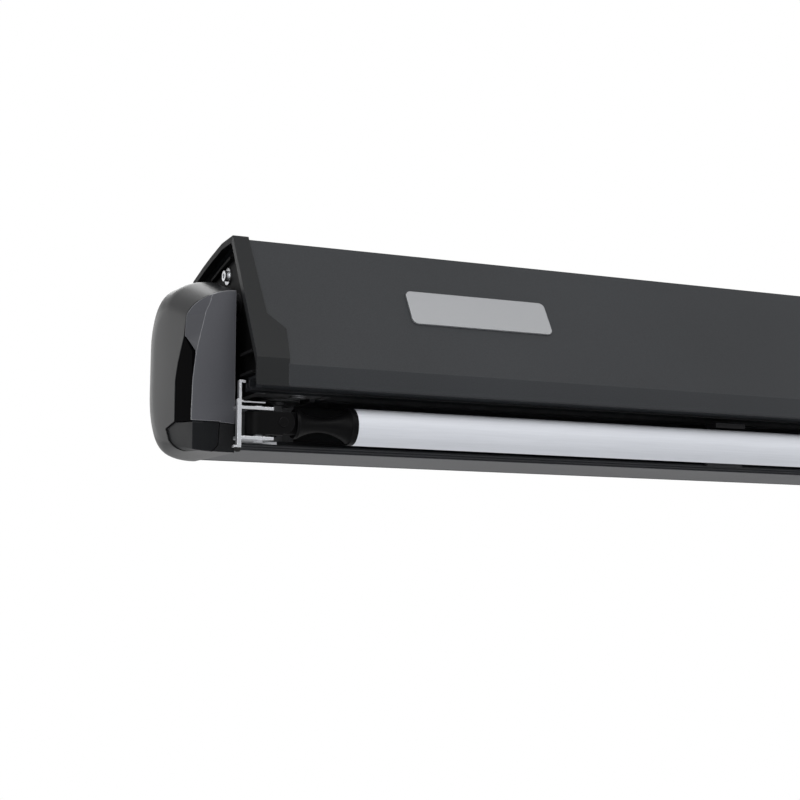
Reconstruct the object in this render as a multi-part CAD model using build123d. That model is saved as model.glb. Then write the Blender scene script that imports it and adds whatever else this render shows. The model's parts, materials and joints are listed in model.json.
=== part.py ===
"""Roll out awning for a motor caravan, closed, as separate parts in one shared frame.

Millimetres, +Z up. X runs along the awning with 0 at mid length, Y runs from the
mounting face (0) to the rounded nose, Z is 0 at the middle of the mounting band.
"""
import math
import os

from build123d import *

os.makedirs("parts", exist_ok=True)

# Overall size
length = 3500.0
half = length / 2

# Cuts run past the solid by over, and reach is further than the section is wide
over = 1.0
reach = 200.0

# Cassette section, as points (Y, Z)
lip = (124.0, 76.5)
crown = [(104.1, 82.2), (86.2, 86.4), (66.8, 90.2)]
apex = (47.2, 91.0)
crease = (0.0, 7.8)
band_low = (0.0, -3.5)
floor_low = -5.5
floor_depth = 34.0
floor_lip = 5.0
heel = 0.8
hood_wall = 2.2
floor_wall = 2.0

# Screw ports and mounting track in the cassette
port_r = 4.4
port_hole_r = 2.2
port_a = (50.6, 85.8)
port_b = (6.0, 1.0)
track_y = 20.0
track_slot = 8.0
track_inside = 14.0
track_height = 6.2
track_wall = 1.8

# End trim
trim_out = 5.0
trim_proud = 1.6
trim_lap = 2.4
trim_gap = 0.05
trim_edge = [(5.0, 100.0), (5.2, 89.7), (6.8, 40.3), (17.2, 30.5), (15.2, 9.3), (15.2, -14.0)]
trim_band = 14.7
trim_band_top = 8.9
trim_band_t = 1.15

# Roller
roller_y, roller_z = 60.0, 50.5
tube_r = 19.0
tube_wall = 1.4
cloth_r = 26.0
roller_end = 52.0
cloth_end = 60.0
axle_r = 5.0
run_gap = 0.05
bush_r = 9.0
bush_x = 21.0

# Crank
crank_y, crank_z, crank_r = 27.0, 32.0, 4.0
crank_hole_r = 5.0

# End plate
plate_x0, plate_x1 = 3.0, 7.0
plate_edge_y, plate_edge_low, plate_edge_top = 108.0, 60.0, 78.4
plate_waist_y, plate_waist_z = 96.0, 52.0
plate_belly_y, plate_belly_z = 100.0, 20.0
plate_foot_z = 3.0
plate_play, floor_play = 0.1, 0.3
boss_wall = 3.5
boss_x = 20.0
rib_out = -4.0
rib_y0, rib_y1 = 12.0, 33.0
ribs = [(15.6, 17.1), (3.2, 4.6)]
arch_in, arch_out = 8.2, 6.4
screw_place = (77.0, 73.5)
screw_r = 2.1
screw_head_r, screw_head_t = 3.4, 2.4
washer_r, washer_t = 5.6, 0.8
screw_end = 6.0
socket_r, socket_depth = 1.6, 1.8

# Folding arms
arm_length = 1327.5
arm_width = 31.0
arm_space = 5.0
arm_offset = (arm_width + arm_space) / 2
shoulder_x = 40.0
shoulder_y = 50.0
elbow_y = shoulder_y + arm_offset
wrist_y = elbow_y + arm_offset
arm_z0, arm_z1 = -4.0, 22.0
arm_wall = 2.5
arm_corner, bore_corner = 4.0, 2.0
collar = 3.5
tongue_z0, tongue_z1 = 3.0, 15.0
fork_gap = 0.3
pin_r = 5.0
knuckle_r = 14.5
knuckle_neck = 8.0
pin_proud = 1.5
elbow_proud = 0.8
elbow_r = arm_width / 2
arm_start = 20.0
arm_stop = 36.0
plug_length = 45.0
elbow_x = shoulder_x + math.sqrt(arm_length**2 - arm_offset**2)

# Lead rail
rail_end = 6.0
rail_wall = 2.2
rail_inset = 1.3
rail_rear = 33.0
rail_rear_top = -36.5
web_y = 112.0
groove_front, groove_back = 117.0, 126.5
groove_z0, groove_z1 = 61.5, 71.0
groove_wall = 1.5
groove_rim = groove_z1 + 1.0
tooth_t, tooth_tall = 1.2, 4.0
rail_ports = [(137.9, -22.0), (139.2, 60.2), (60.0, -35.8)]
hem_y, hem_z, hem_r = 121.0, 66.3, 3.2
hem_end = 60.0

# End cap, outline as points (Y, Z) before rounding
cap_rear = 35.5
cap_nose, cap_low, cap_lift = 156.0, -42.1, 2.0
rail_floor = cap_low + 2 * rail_inset + rail_wall
score, score_count, score_pitch = 0.7, 3, 1.5
score_z = cap_low + 2.4
cap_top = [(154.0, 75.0), (88.0, 71.5), (cap_rear, 56.0)]
cap_in, cap_out = 6.0, 33.0
cap_lower_r, cap_upper_r, cap_shoulder_r = 45.0, 32.0, 60.0
cap_lower_less, cap_upper_less, cap_shoulder_less = 12.0, 8.0, 40.0
cap_steps = (0, 25, 45, 60, 72, 82, 90)
nose_round, top_round, low_round = 40.0, 26.0, 14.0
low_share, top_share = 0.1, 0.8
cap_wall = 6.0
cap_collar_x, cap_floor_x = 13.0, 20.0
stripe_depth, corner_depth, facet_depth = 7.0, 5.0, 12.5
corner_rear_depth = 2.4
stripe_sunk, corner_sunk = 0.4, 1.0
notch_x, notch_depth, notch_low, notch_high = 15.5, 0.7, -33.1, -32.4

# Leg
leg_y, leg_z = 18.0, -25.4
leg_r = 11.25
leg_wall = 1.2
block_z0, block_z1 = -33.2, -19.4
turn_x = 2.5
turn_pin_r = 3.0
drop_x = 15.5
drop_pin_r = 2.8
cheek_r = 7.0
block_wide, block_corner = 8.0, 0.8
lug_r, lug_half, lug_play, block_play = 6.5, 3.8, 0.3, 0.7
cheek_in = lug_half + lug_play
neck_x0, neck_x1 = 24.5, 62.5
neck_r, neck_waist, neck_root = 9.0, 4.3, 2.0
tube_x1 = 1200.0
guide_length = 20.0
inner_play = 0.65
inner_r = leg_r - leg_wall - inner_play
inner_x0, inner_x1 = 560.0, 1232.0
foot_x = 1243.0
foot_lug, foot_pin_r = 3.0, 2.5
clip_x0, clip_x1 = 332.0, 356.0
clip_front, clip_play, clip_lip = 21.0, 1.95, 3.4
clip_top = leg_z + leg_r + clip_play + clip_lip
clip_gap, clip_drop, clip_hook, clip_t = 0.35, 0.8, 2.2, 1.8
clip_ear0, clip_ear1, clip_ear_t = 1.5, 3.0, 2.4

shown = {}


def put(name, solid):
    """Name a solid and write it out."""
    solid.label = name
    shown[name] = solid
    export_step(solid, f"parts/{name}.step")


def both(name, solid):
    """Write a left hand solid and its mirror image on the right."""
    put(f"{name}_left", solid)
    put(f"{name}_right", mirror(solid, about=Plane.YZ))


def box(x0, x1, y0, y1, z0, z1):
    """A box between two corners."""
    return Pos((x0 + x1) / 2, (y0 + y1) / 2, (z0 + z1) / 2) * Box(
        abs(x1 - x0), abs(y1 - y0), abs(z1 - z0))


def at(x):
    """X of a point measured inward from the left end."""
    return x - half


def run(face, x0, x1):
    """Extrude a face drawn in (Y, Z) from x0 to x1."""
    plane = Plane(origin=(x0, 0, 0), x_dir=(0, 1, 0), z_dir=(1, 0, 0))
    return extrude(plane * face, amount=x1 - x0)


def shape(points):
    """A flat face from points."""
    return make_face(Polyline(*points, close=True))


def disc(y, z, r, x0, x1):
    """A cylinder along X."""
    return run(Pos(y, z) * Circle(r), x0, x1)


def post(x, y, r, z0, z1):
    """A cylinder along Z."""
    return Pos(x, y, (z0 + z1) / 2) * Cylinder(r, z1 - z0)


def cross(x, z, r, y0, y1):
    """A cylinder along Y."""
    return Pos(x, (y0 + y1) / 2, z) * Rot(90, 0, 0) * Cylinder(r, y1 - y0)


# Cassette

def normal_shift(points, amount):
    """Move an open line of points sideways by amount, keeping it parallel."""
    moved = []
    for i, p in enumerate(points):
        before = points[max(i - 1, 0)]
        after = points[min(i + 1, len(points) - 1)]
        legs = []
        for a, b in ((before, p), (p, after)):
            size = math.dist(a, b)
            if size > 0:
                legs.append(((b[1] - a[1]) / size, (a[0] - b[0]) / size))
        nx = sum(n[0] for n in legs) / len(legs)
        ny = sum(n[1] for n in legs) / len(legs)
        scale = amount / (nx * nx + ny * ny)
        moved.append((p[0] + nx * scale, p[1] + ny * scale))
    return moved


hood_line = [lip, *crown, apex, crease, band_low]


def skin(outer, inner):
    """A strip that follows the hood line between two offsets, plus outside and minus inside."""
    return shape(normal_shift(hood_line, inner) + normal_shift(hood_line, outer)[::-1])


def cassette_hood():
    """Aluminium cover extrusion with screw ports and a T slot track in its floor."""
    section = skin(0, -hood_wall)
    floor_top = floor_low + floor_wall
    section += shape([(0, band_low[1] + over), (hood_wall, band_low[1] + over), (hood_wall, floor_top),
                      (floor_depth, floor_top), (floor_depth, floor_low), (heel, floor_low),
                      (0, floor_low + heel)])
    section += shape([(floor_depth - floor_wall, floor_low), (floor_depth, floor_low),
                      (floor_depth, floor_low + floor_lip),
                      (floor_depth - floor_wall, floor_low + floor_lip)])
    for y, z in (port_a, port_b):
        section += Pos(y, z) * Circle(port_r)
    wide = track_inside / 2
    top = floor_low + floor_wall + track_height
    section += shape([(track_y - wide - track_wall, floor_low), (track_y + wide + track_wall, floor_low),
                      (track_y + wide + track_wall, top), (track_y - wide - track_wall, top)])
    section -= shape([(track_y - wide, floor_low + floor_wall), (track_y + wide, floor_low + floor_wall),
                      (track_y + wide, top - track_wall), (track_y - wide, top - track_wall)])
    slot = track_slot / 2
    section -= shape([(track_y - slot, floor_low - over), (track_y + slot, floor_low - over),
                      (track_y + slot, floor_low + floor_wall + over),
                      (track_y - slot, floor_low + floor_wall + over)])
    for y, z in (port_a, port_b):
        section -= Pos(y, z) * Circle(port_hole_r)
    hood = run(section, -half, half)
    notch = box(at(-trim_out), at(trim_band + trim_gap), -trim_out, trim_band_t + trim_gap,
                floor_low - over, trim_band_top + trim_gap)
    return hood - notch - mirror(notch, about=Plane.YZ)


def end_trim():
    """Stepped trim that frames the end of the hood, kept clear of the mounting plane."""
    sleeve = run(skin(trim_proud, trim_gap), at(-trim_out), at(max(p[0] for p in trim_edge)))
    x0 = at(-trim_out)
    edge = [(x0, reach)] + [(at(x), z) for x, z in trim_edge] + [(x0, trim_edge[-1][1])]
    plane = Plane(origin=(0, 0, 0), x_dir=(1, 0, 0), z_dir=(0, -1, 0))
    keep = extrude(plane * shape(edge), amount=-reach)
    flange = run(skin(trim_proud, -trim_lap), x0, at(-trim_gap))
    flange &= box(x0 - over, at(over), 0, reach, -reach, reach)
    band = box(x0, at(trim_band), 0, trim_band_t, floor_low, trim_band_top)
    return (sleeve & keep) + flange + band


def end_plate():
    """Black plate that closes the hood, carries the roller bush and the shoulder bracket."""
    inside = normal_shift(hood_line, -hood_wall - plate_play)
    behind, under = hood_wall + plate_play, floor_depth + floor_play
    outline = [(plate_edge_y, plate_edge_low), (plate_edge_y, plate_edge_top), *inside[2:6],
               (behind, plate_foot_z), (under, plate_foot_z), (under, floor_low),
               (plate_waist_y, floor_low), (plate_belly_y, plate_belly_z),
               (plate_waist_y, plate_waist_z)]
    plate = run(shape(outline), at(plate_x0), at(plate_x1))
    for hole in ((*port_a, port_r + plate_play), (*port_b, port_r + plate_play),
                 (*screw_place, screw_r)):
        plate -= disc(*hole, at(plate_x0 - over), at(plate_x1 + over))
    plate += disc(roller_y, roller_z, bush_r + boss_wall, at(plate_x1 - over), at(boss_x))
    for z0, z1 in ribs:
        plate += box(at(rib_out), at(plate_x0 + over), rib_y0, rib_y1, z0, z1)
    inner, outer = (normal_shift(hood_line, -shift)[1:4] for shift in (arch_in, arch_out))
    plate += run(shape(inner + outer[::-1]), at(0), at(plate_x0 + over))
    plate -= disc(roller_y, roller_z, bush_r, at(plate_x0 - over), at(bush_x))
    return plate


def end_screw():
    """Screw with washer that holds the end plate."""
    y, z = screw_place
    head_x = plate_x0 - washer_t - screw_head_t
    screw = disc(y, z, washer_r, at(plate_x0 - washer_t), at(plate_x0))
    screw += disc(y, z, screw_head_r, at(head_x), at(plate_x0 - washer_t))
    screw += disc(y, z, screw_r, at(plate_x0), at(plate_x1 + screw_end))
    return screw - disc(y, z, socket_r, at(head_x - over), at(head_x + socket_depth))


def badge():
    """Blank plate on the sloped cover."""
    middle, wide, tall, thick, corner = (154.0, 52.5), 100.0, 26.0, 1.2, 4.0
    slope = math.atan2(apex[1] - crease[1], apex[0] - crease[0])
    y = (middle[1] - crease[1]) / math.tan(slope)
    plane = Plane(origin=(at(middle[0]), y, middle[1]), x_dir=(1, 0, 0),
                  z_dir=(0, -math.sin(slope), math.cos(slope)))
    return extrude(plane * RectangleRounded(wide, tall, corner), amount=thick)


def lip_seal():
    """Rubber strip under the front lip of the hood."""
    y0, y1, low, bevel, end = 117.6, 123.4, 73.2, 1.0, 10.0
    fall = (crown[0][1] - lip[1]) / (lip[0] - crown[0][0])
    top = [lip[1] + (lip[0] - y) * fall - hood_wall * math.hypot(1, fall) for y in (y0, y1)]
    return run(shape([(y0, low + bevel), (y0 + bevel, low), (y1, low), (y1, top[1]), (y0, top[0])]),
               at(end), -at(end))


# Roller and crank

def roller_bush():
    """Plain bearing for the roller axle."""
    ring = disc(roller_y, roller_z, bush_r, at(plate_x0), at(bush_x))
    return ring - disc(roller_y, roller_z, axle_r + run_gap, at(plate_x0 - over), at(bush_x + over))


def roller_plug():
    """End plug with the axle stub."""
    stub_x, flange, inside = 1.0, 1.8, 40.0
    plug = disc(roller_y, roller_z, axle_r, at(stub_x), at(roller_end))
    plug += disc(roller_y, roller_z, tube_r, at(roller_end - flange), at(roller_end))
    plug += disc(roller_y, roller_z, tube_r - tube_wall, at(roller_end), at(roller_end + inside))
    return plug


def roller_tube():
    """Steel tube that takes up the cloth."""
    tube = disc(roller_y, roller_z, tube_r, at(roller_end), -at(roller_end))
    return tube - disc(roller_y, roller_z, tube_r - tube_wall, at(roller_end), -at(roller_end))


def cloth_roll():
    """Cloth wound on the tube."""
    roll = disc(roller_y, roller_z, cloth_r, at(cloth_end), -at(cloth_end))
    return roll - disc(roller_y, roller_z, tube_r, at(cloth_end), -at(cloth_end))


def gearbox():
    """Housing of the crank gear around the right axle."""
    depth, big, small, axle_play, end_wall = 27.0, 19.0, 8.6, 0.4, 6.0
    x0, x1 = -at(bush_x + depth), -at(bush_x)
    box_face = make_hull(Edge.make_circle(big, Plane((roller_y, roller_z, 0))).edges()
                         + Edge.make_circle(small, Plane((crank_y, crank_z, 0))).edges())
    house = run(box_face, x0, x1)
    house -= disc(roller_y, roller_z, axle_r + axle_play, x0 - over, x1 + over)
    return house - disc(crank_y, crank_z, crank_r + run_gap, x0 + end_wall, x1 + over)


def crank_eye():
    """Crank shaft with the loop for the crank hook."""
    loop_r, wire_r, loop_x, shaft_x, sunk = 5.4, 1.8, -14.0, 41.0, 0.6
    shaft = disc(crank_y, crank_z, crank_r, -at(shaft_x), -at(loop_x + loop_r + sunk))
    loop = Pos(-at(loop_x), crank_y, crank_z) * Rot(90, 0, 0) * Torus(loop_r, wire_r)
    return shaft + loop


def hem_bar():
    """Round bar sewn in the front hem of the cloth."""
    return disc(hem_y, hem_z, hem_r, at(hem_end), -at(hem_end))


# Folding arms

def plate_hull(points, x_shift=0.0):
    """A flat face around discs given as (X, Y, radius)."""
    rings = []
    for x, y, r in points:
        rings += Edge.make_circle(r, Plane((x + x_shift, y, 0))).edges()
    return make_hull(rings)


def slab(face, z0, z1):
    """Extrude a face drawn in (X, Y) from z0 to z1."""
    return extrude(Pos(0, 0, z0) * face, amount=z1 - z0)


def arm_tube(y, x0, x1):
    """Hollow arm extrusion."""
    tall = arm_z1 - arm_z0
    face = RectangleRounded(arm_width, tall, arm_corner)
    face -= RectangleRounded(arm_width - 2 * arm_wall, tall - 2 * arm_wall, bore_corner)
    return run(Pos(y, (arm_z0 + arm_z1) / 2) * face, x0, x1)


def arm_plug(y, x0, x1, collar0, collar1):
    """Collar against the arm end and the plug inside the arm."""
    tall = arm_z1 - arm_z0
    middle = Pos(y, (arm_z0 + arm_z1) / 2)
    plug = RectangleRounded(arm_width - 2 * arm_wall, tall - 2 * arm_wall, bore_corner)
    return (run(middle * RectangleRounded(arm_width, tall, arm_corner), collar0, collar1)
            + run(middle * plug, x0, x1))


arm_x0 = at(shoulder_x + arm_start)
arm_x1 = at(elbow_x - arm_stop)


def end_knuckle(y):
    """Tongue on the arm end that turns on a bracket pin."""
    x, neck = at(shoulder_x), arm_x0 - collar - knuckle_neck
    solid = slab(plate_hull([(x, y, knuckle_r), (neck, y, knuckle_r)]), tongue_z0, tongue_z1)
    solid += box(neck, arm_x0 - collar, y - knuckle_r, y + knuckle_r, tongue_z0, tongue_z1)
    solid += arm_plug(y, arm_x0, arm_x0 + plug_length, arm_x0 - collar, arm_x0)
    return solid - post(x, y, pin_r + run_gap, tongue_z0 - over, tongue_z1 + over)


def elbow_web(y, z0, z1):
    """Plate from the arm end to the elbow pin."""
    side = arm_corner
    near, far = y - arm_width / 2 + side, y + arm_width / 2 - side
    points = [(at(elbow_x), elbow_y, elbow_r), (arm_x1 + collar + side, near, side),
              (arm_x1 + collar + side, far, side)]
    solid = slab(plate_hull(points), z0, z1)
    return solid + box(arm_x1 + collar, arm_x1 + collar + side, near - side, far + side, z0, z1)


def elbow_fork():
    """Fork and pin on the upper arm."""
    solid = elbow_web(shoulder_y, arm_z0, tongue_z0 - fork_gap)
    solid += elbow_web(shoulder_y, tongue_z1 + fork_gap, arm_z1)
    solid += arm_plug(shoulder_y, arm_x1 - plug_length, arm_x1, arm_x1, arm_x1 + collar)
    return solid + post(at(elbow_x), elbow_y, pin_r, arm_z0 - elbow_proud, arm_z1 + elbow_proud)


def elbow_tongue():
    """Tongue on the forearm that turns in the elbow fork."""
    solid = elbow_web(wrist_y, tongue_z0, tongue_z1)
    solid += arm_plug(wrist_y, arm_x1 - plug_length, arm_x1, arm_x1, arm_x1 + collar)
    return solid - post(at(elbow_x), elbow_y, pin_r + run_gap, tongue_z0 - over, tongue_z1 + over)


def shoulder_bracket():
    """Casting on the end plate with the fork and pin of the shoulder."""
    x, root = at(shoulder_x), at(plate_x1)
    base_t, base_near, base_top = 6.0, 36.0, 24.0
    slim, corner, web_x0, web_x1 = 1.0, 2.0, 2.0, 12.0
    side = knuckle_r - slim
    solid = box(root, root + base_t, base_near, plate_waist_y, floor_low, base_top)
    near, far = shoulder_y - side + corner, shoulder_y + side - corner
    fork = plate_hull([(x, shoulder_y, knuckle_r), (root + corner, near, corner),
                       (root + corner, far, corner)])
    solid += slab(fork, arm_z0, tongue_z0 - fork_gap)
    solid += slab(fork, tongue_z1 + fork_gap, arm_z1)
    solid += box(root + web_x0, root + web_x1, shoulder_y - side + corner,
                 shoulder_y + side - corner, arm_z0 + over, arm_z1 - over)
    return solid + post(x, shoulder_y, pin_r, arm_z0 - pin_proud, arm_z1 + pin_proud)


def wrist_bracket():
    """Casting in the lead rail with the fork and pin of the wrist."""
    x, back, floor = at(shoulder_x), web_y, rail_floor
    wide, wall, top, foot, foot_t, rib = 18.0, 8.0, 40.0, 30.0, 5.0, 3.0
    solid = box(x - wide, x + wide, back - wall, back, floor, top)
    solid += box(x - wide, x + wide, back - foot, back, floor, floor + foot_t)
    for z0, z1 in ((arm_z0, tongue_z0 - fork_gap), (tongue_z1 + fork_gap, arm_z1)):
        solid += slab(plate_hull([(x, wrist_y, knuckle_r), (x, back - knuckle_r, knuckle_r)]), z0, z1)
        solid += box(x - knuckle_r, x + knuckle_r, back - knuckle_r, back, z0, z1)
    solid += box(x - rib, x + rib, wrist_y, back, floor, arm_z0)
    return solid + post(x, wrist_y, pin_r, arm_z0 - pin_proud, arm_z1 + pin_proud)


# Lead rail and end caps

def rounded(corners):
    """Closed wire through corners given as (Y, Z, radius), always in the same order."""
    count = len(corners)
    ends = []
    for i, (y, z, r) in enumerate(corners):
        here = Vector(y, z)
        back = (Vector(*corners[i - 1][:2]) - here).normalized()
        ahead = (Vector(*corners[(i + 1) % count][:2]) - here).normalized()
        if r == 0:
            ends.append((here, None, here))
            continue
        half_angle = math.acos(back.dot(ahead)) / 2
        reach = r / math.tan(half_angle)
        middle = here + (back + ahead).normalized() * (r / math.sin(half_angle) - r)
        ends.append((here + back * reach, middle, here + ahead * reach))
    edges = []
    for i, (start, middle, stop) in enumerate(ends):
        if middle is not None:
            edges.append(ThreePointArc(start, middle, stop))
        edges.append(Line(stop, ends[(i + 1) % count][0]))
    return make_face(edges)


def cap_face(rear, nose=0.0, top=0.0, low=0.0):
    """Rounded outline of the lead rail and its caps, drawn in (Y, Z)."""
    share = nose / nose_round
    fall = top_share * top
    return rounded([
        (rear, cap_low + low_share * low, 0),
        (cap_nose - nose, cap_low + cap_lift + low, cap_lower_r - cap_lower_less * share),
        (cap_top[0][0] - nose, cap_top[0][1] - top, cap_upper_r - cap_upper_less * share),
        (cap_top[1][0], cap_top[1][1] - fall, cap_shoulder_r - cap_shoulder_less * share),
        (rear, cap_top[2][1] - fall, 0)])


def lead_rail():
    """Front rail extrusion with the hem groove and screw ports."""
    outer = offset(cap_face(rail_rear - rail_inset), amount=-rail_inset, kind=Kind.INTERSECTION)
    inner = offset(outer, amount=-rail_wall, kind=Kind.INTERSECTION)
    section = outer - inner
    section -= shape([(0, rail_rear_top), (groove_front, rail_rear_top), (groove_front, reach),
                      (0, reach)])
    floor = cap_low + rail_inset + rail_wall / 2
    section += shape([(web_y, floor), (web_y + groove_wall, floor),
                      (web_y + groove_wall, groove_z0), (web_y, groove_z0)])
    section += shape([(web_y, groove_z0 - groove_wall), (groove_back + groove_wall, groove_z0 - groove_wall),
                      (groove_back + groove_wall, groove_rim), (groove_back, groove_rim),
                      (groove_back, groove_z0), (web_y, groove_z0)])
    section += shape([(groove_front, groove_rim - tooth_tall),
                      (groove_front + tooth_t, groove_rim - tooth_tall),
                      (groove_front + tooth_t, groove_rim), (groove_front, groove_rim)])
    for y, z in rail_ports:
        section += Pos(y, z) * Circle(port_r)
    for y, z in rail_ports:
        section -= Pos(y, z) * Circle(port_hole_r)
    for i in range(score_count):
        section -= Pos(rail_rear, score_z + i * score_pitch) * Rectangle(score, score)
    return run(section, at(-rail_end), -at(-rail_end))


# Side facet of the cap: height, X of its rear edge from the hood end, Y of its front edge
facet_levels = [(80.0, -11.0, 40.0), (50.0, -22.0, 44.8), (40.7, -25.4, 48.5), (27.4, -28.4, 53.0),
                (16.8, -30.7, 61.0), (1.0, -32.4, 68.0), (-18.0, -32.95, 68.2)]


def cap_body():
    """Outer form of the end cap, rounded toward its end, with the side facet cut off."""
    sections = []
    for turn in cap_steps:
        angle = math.radians(turn)
        shrink = 1 - math.cos(angle)
        plane = Plane(origin=(at(-cap_in - (cap_out - cap_in) * math.sin(angle)), 0, 0),
                      x_dir=(0, 1, 0), z_dir=(1, 0, 0))
        sections.append(plane * cap_face(cap_rear, nose_round * shrink, top_round * shrink,
                                         low_round * shrink))
    body = loft(sections)
    near, far = cap_rear - over, at(-cap_out - over)
    slices = []
    for z, x, y in facet_levels:
        x, end = at(x), at(-cap_out)
        start = x + (x - end) / (y - cap_rear)
        slices.append(Pos(0, 0, z) * shape([(start, near), (end, y), (far, y), (far, near)]))
    return body - loft(slices, ruled=True)


# Outlines of the inserts, (Y, Z) on the end face and (X, Z) from the hood end on the rear face
skin_y = cap_rear + 1.5
seam = -24.3
facet_outline = [(skin_y, 70.0), (75.0, 70.0), (75.0, 40.0), (51.8, 28.5), (skin_y, 17.5)]
stripe_outline = [(51.8, 28.5), (63.0, 14.1), (67.8, 3.7), (68.3, -21.5), (skin_y, seam),
                  (skin_y, 17.5)]
corner_outline = [(86.0, -24.1), (68.3, -21.5), (skin_y, seam), (35.0, seam), (35.0, -43.0),
                  (46.0, -43.0), (66.0, -38.4), (80.0, -31.5)]
corner_rear = [(-40.0, seam), (-15.5, seam), (-16.4, -38.0), (-24.0, -43.0), (-40.0, -43.0)]
blade_rear = [(-40.0, seam), (-40.0, 60.0), (-5.0, 60.0), (-5.0, -24.9), (-15.5, seam)]


def end_cut(outline, depth):
    """Cutter from the end of the cap down to a depth."""
    return run(shape(outline), at(-cap_out - over), at(-cap_out + depth))


def rear_cut(outline, y):
    """Cutter from behind the cap up to a distance from the wall."""
    start = cap_rear - over
    plane = Plane(origin=(0, start, 0), x_dir=(1, 0, 0), z_dir=(0, -1, 0))
    return extrude(plane * shape([(at(x), z) for x, z in outline]), amount=start - y)


def make_caps():
    """End cap shell, gloss stripe, corner inset and blade."""
    body = cap_body()
    mouth = at(-cap_in + over)
    hollow = offset(cap_face(cap_rear), amount=-cap_wall, kind=Kind.INTERSECTION)
    small = offset(cap_face(cap_rear), amount=-2 * cap_wall, kind=Kind.INTERSECTION)
    stripe_cut = end_cut(stripe_outline, stripe_depth)
    corner_cut = end_cut(corner_outline, corner_depth)
    corner_cut += rear_cut(corner_rear, cap_rear + corner_rear_depth)
    corner_cut -= stripe_cut
    blade_cut = end_cut(facet_outline, facet_depth) + rear_cut(blade_rear, skin_y)
    blade_cut = blade_cut - stripe_cut - corner_cut
    shell = body - run(hollow, at(-cap_collar_x), mouth) - run(small, at(-cap_floor_x), mouth)
    shell -= box(at(-notch_x), mouth, cap_rear - over, cap_rear + notch_depth, notch_low, notch_high)
    shell = shell - stripe_cut - corner_cut - blade_cut
    stripe = stripe_cut & (Pos(stripe_sunk, 0, 0) * body)
    corner = corner_cut & (Pos(corner_sunk, corner_sunk, 0) * body)
    return shell, stripe, corner, blade_cut & body


# Legs

bracket_x, bracket_t = -13.3, 2.4
bracket_y = 9.5
flange_t = 1.7
flange_low = rail_rear_top
flange_high = -17.2
flange_x = 9.1
foot_z = -41.5
ear_z, ear_t, ear_reach, ear_top_t = -2.1, 1.3, 2.5, 1.4
step_z = flange_high + 3.9
bracket_back, bracket_web, bracket_slope = 30.0, 3.5, 7.5
bracket_rib_z0, bracket_rib_z1 = flange_high + 2.6, flange_high + 3.4
rib_t, rib_root, rib_end_x = 0.9, 1.0, flange_x - 4.0
hook_x0, hook_x1, hook_drop = -5.0, 20.0, 1.8
toe, toe_t = 2.0, 1.2
neck_play, pin_below = 0.9, 0.8
seat = 0.1
stop_x, stop_r, stop_tall, stop_round = 0.8, 1.9, 2.6, 1.2


def leg_bracket():
    """Bare metal bracket on the lead rail with the pin that the leg turns on."""
    near, back, hook = bracket_y, bracket_back, rail_rear + rail_wall
    web, hook_y = bracket_web, hook + bracket_t
    left = bracket_x + bracket_t
    slope_y = near + bracket_slope
    upper = [(bracket_x, near), (flange_x, near), (flange_x, back), (hook_x0, back),
             (bracket_x, slope_y)]
    lower = [(bracket_x, near), (flange_x, near), (flange_x, back), (hook_x1, rail_rear),
             (hook_x1, hook_y), (hook_x0, hook_y), (hook_x0, back), (bracket_x, slope_y)]
    solid = slab(shape([(at(x), y) for x, y in upper]), flange_high - flange_t, flange_high)
    solid += slab(shape([(at(x), y) for x, y in lower]), flange_low, flange_low + flange_t)
    solid -= post(at(drop_x), leg_y, neck_r + neck_play, flange_low - over, flange_high + over)
    solid += box(at(hook_x0), at(hook_x1), hook, hook_y, flange_low - hook_drop, flange_low + flange_t)
    solid += box(at(bracket_x), at(left), near, near + web, foot_z, step_z + seat)
    solid += box(at(left - ear_t), at(left), near, near + web, step_z, ear_z)
    solid += box(at(left - ear_t), at(left + ear_reach), near, near + web, ear_z - ear_top_t, ear_z)
    rib = near + web + rib_t
    solid += box(at(left - seat), at(rib_end_x), near + web, rib, bracket_rib_z0, bracket_rib_z1)
    solid += box(at(left - seat), at(left + rib_root), near, rib, bracket_rib_z0, bracket_rib_z1)
    solid += box(at(bracket_x - toe), at(left), near, near + web, foot_z, foot_z + toe_t)
    return solid + post(at(turn_x), leg_y, turn_pin_r, flange_low - pin_below, flange_high + toe_t)


def rubber_stop():
    """Rubber bead under the bracket foot."""
    solid = post(at(bracket_x + stop_x), bracket_y + stop_r, stop_r, foot_z - stop_tall, foot_z)
    return fillet(solid.edges().group_by(Axis.Z)[0], stop_round)


def hinge_block():
    """Black block between the bracket flanges, with the pin the leg drops on."""
    wide, corner = block_wide, block_corner
    face = plate_hull([(at(turn_x), leg_y, wide),
                       (at(drop_x + cheek_r), leg_y - wide + corner, corner),
                       (at(drop_x + cheek_r), leg_y + wide - corner, corner)])
    solid = slab(face, block_z0, block_z1)
    low, high, side = block_z0 - over, block_z1 + over, wide + over
    keep = box(at(turn_x - side), at(drop_x), leg_y - side, leg_y + side, low, high)
    keep += cross(at(drop_x), leg_z, cheek_r, leg_y - side, leg_y + side)
    solid &= keep
    solid -= box(at(drop_x - lug_r - block_play), at(drop_x + cheek_r + over),
                 leg_y - cheek_in, leg_y + cheek_in, low, high)
    solid -= post(at(turn_x), leg_y, turn_pin_r + run_gap, low, high)
    return solid + cross(at(drop_x), leg_z, drop_pin_r, leg_y - wide - pin_below,
                         leg_y + wide + pin_below)


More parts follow.
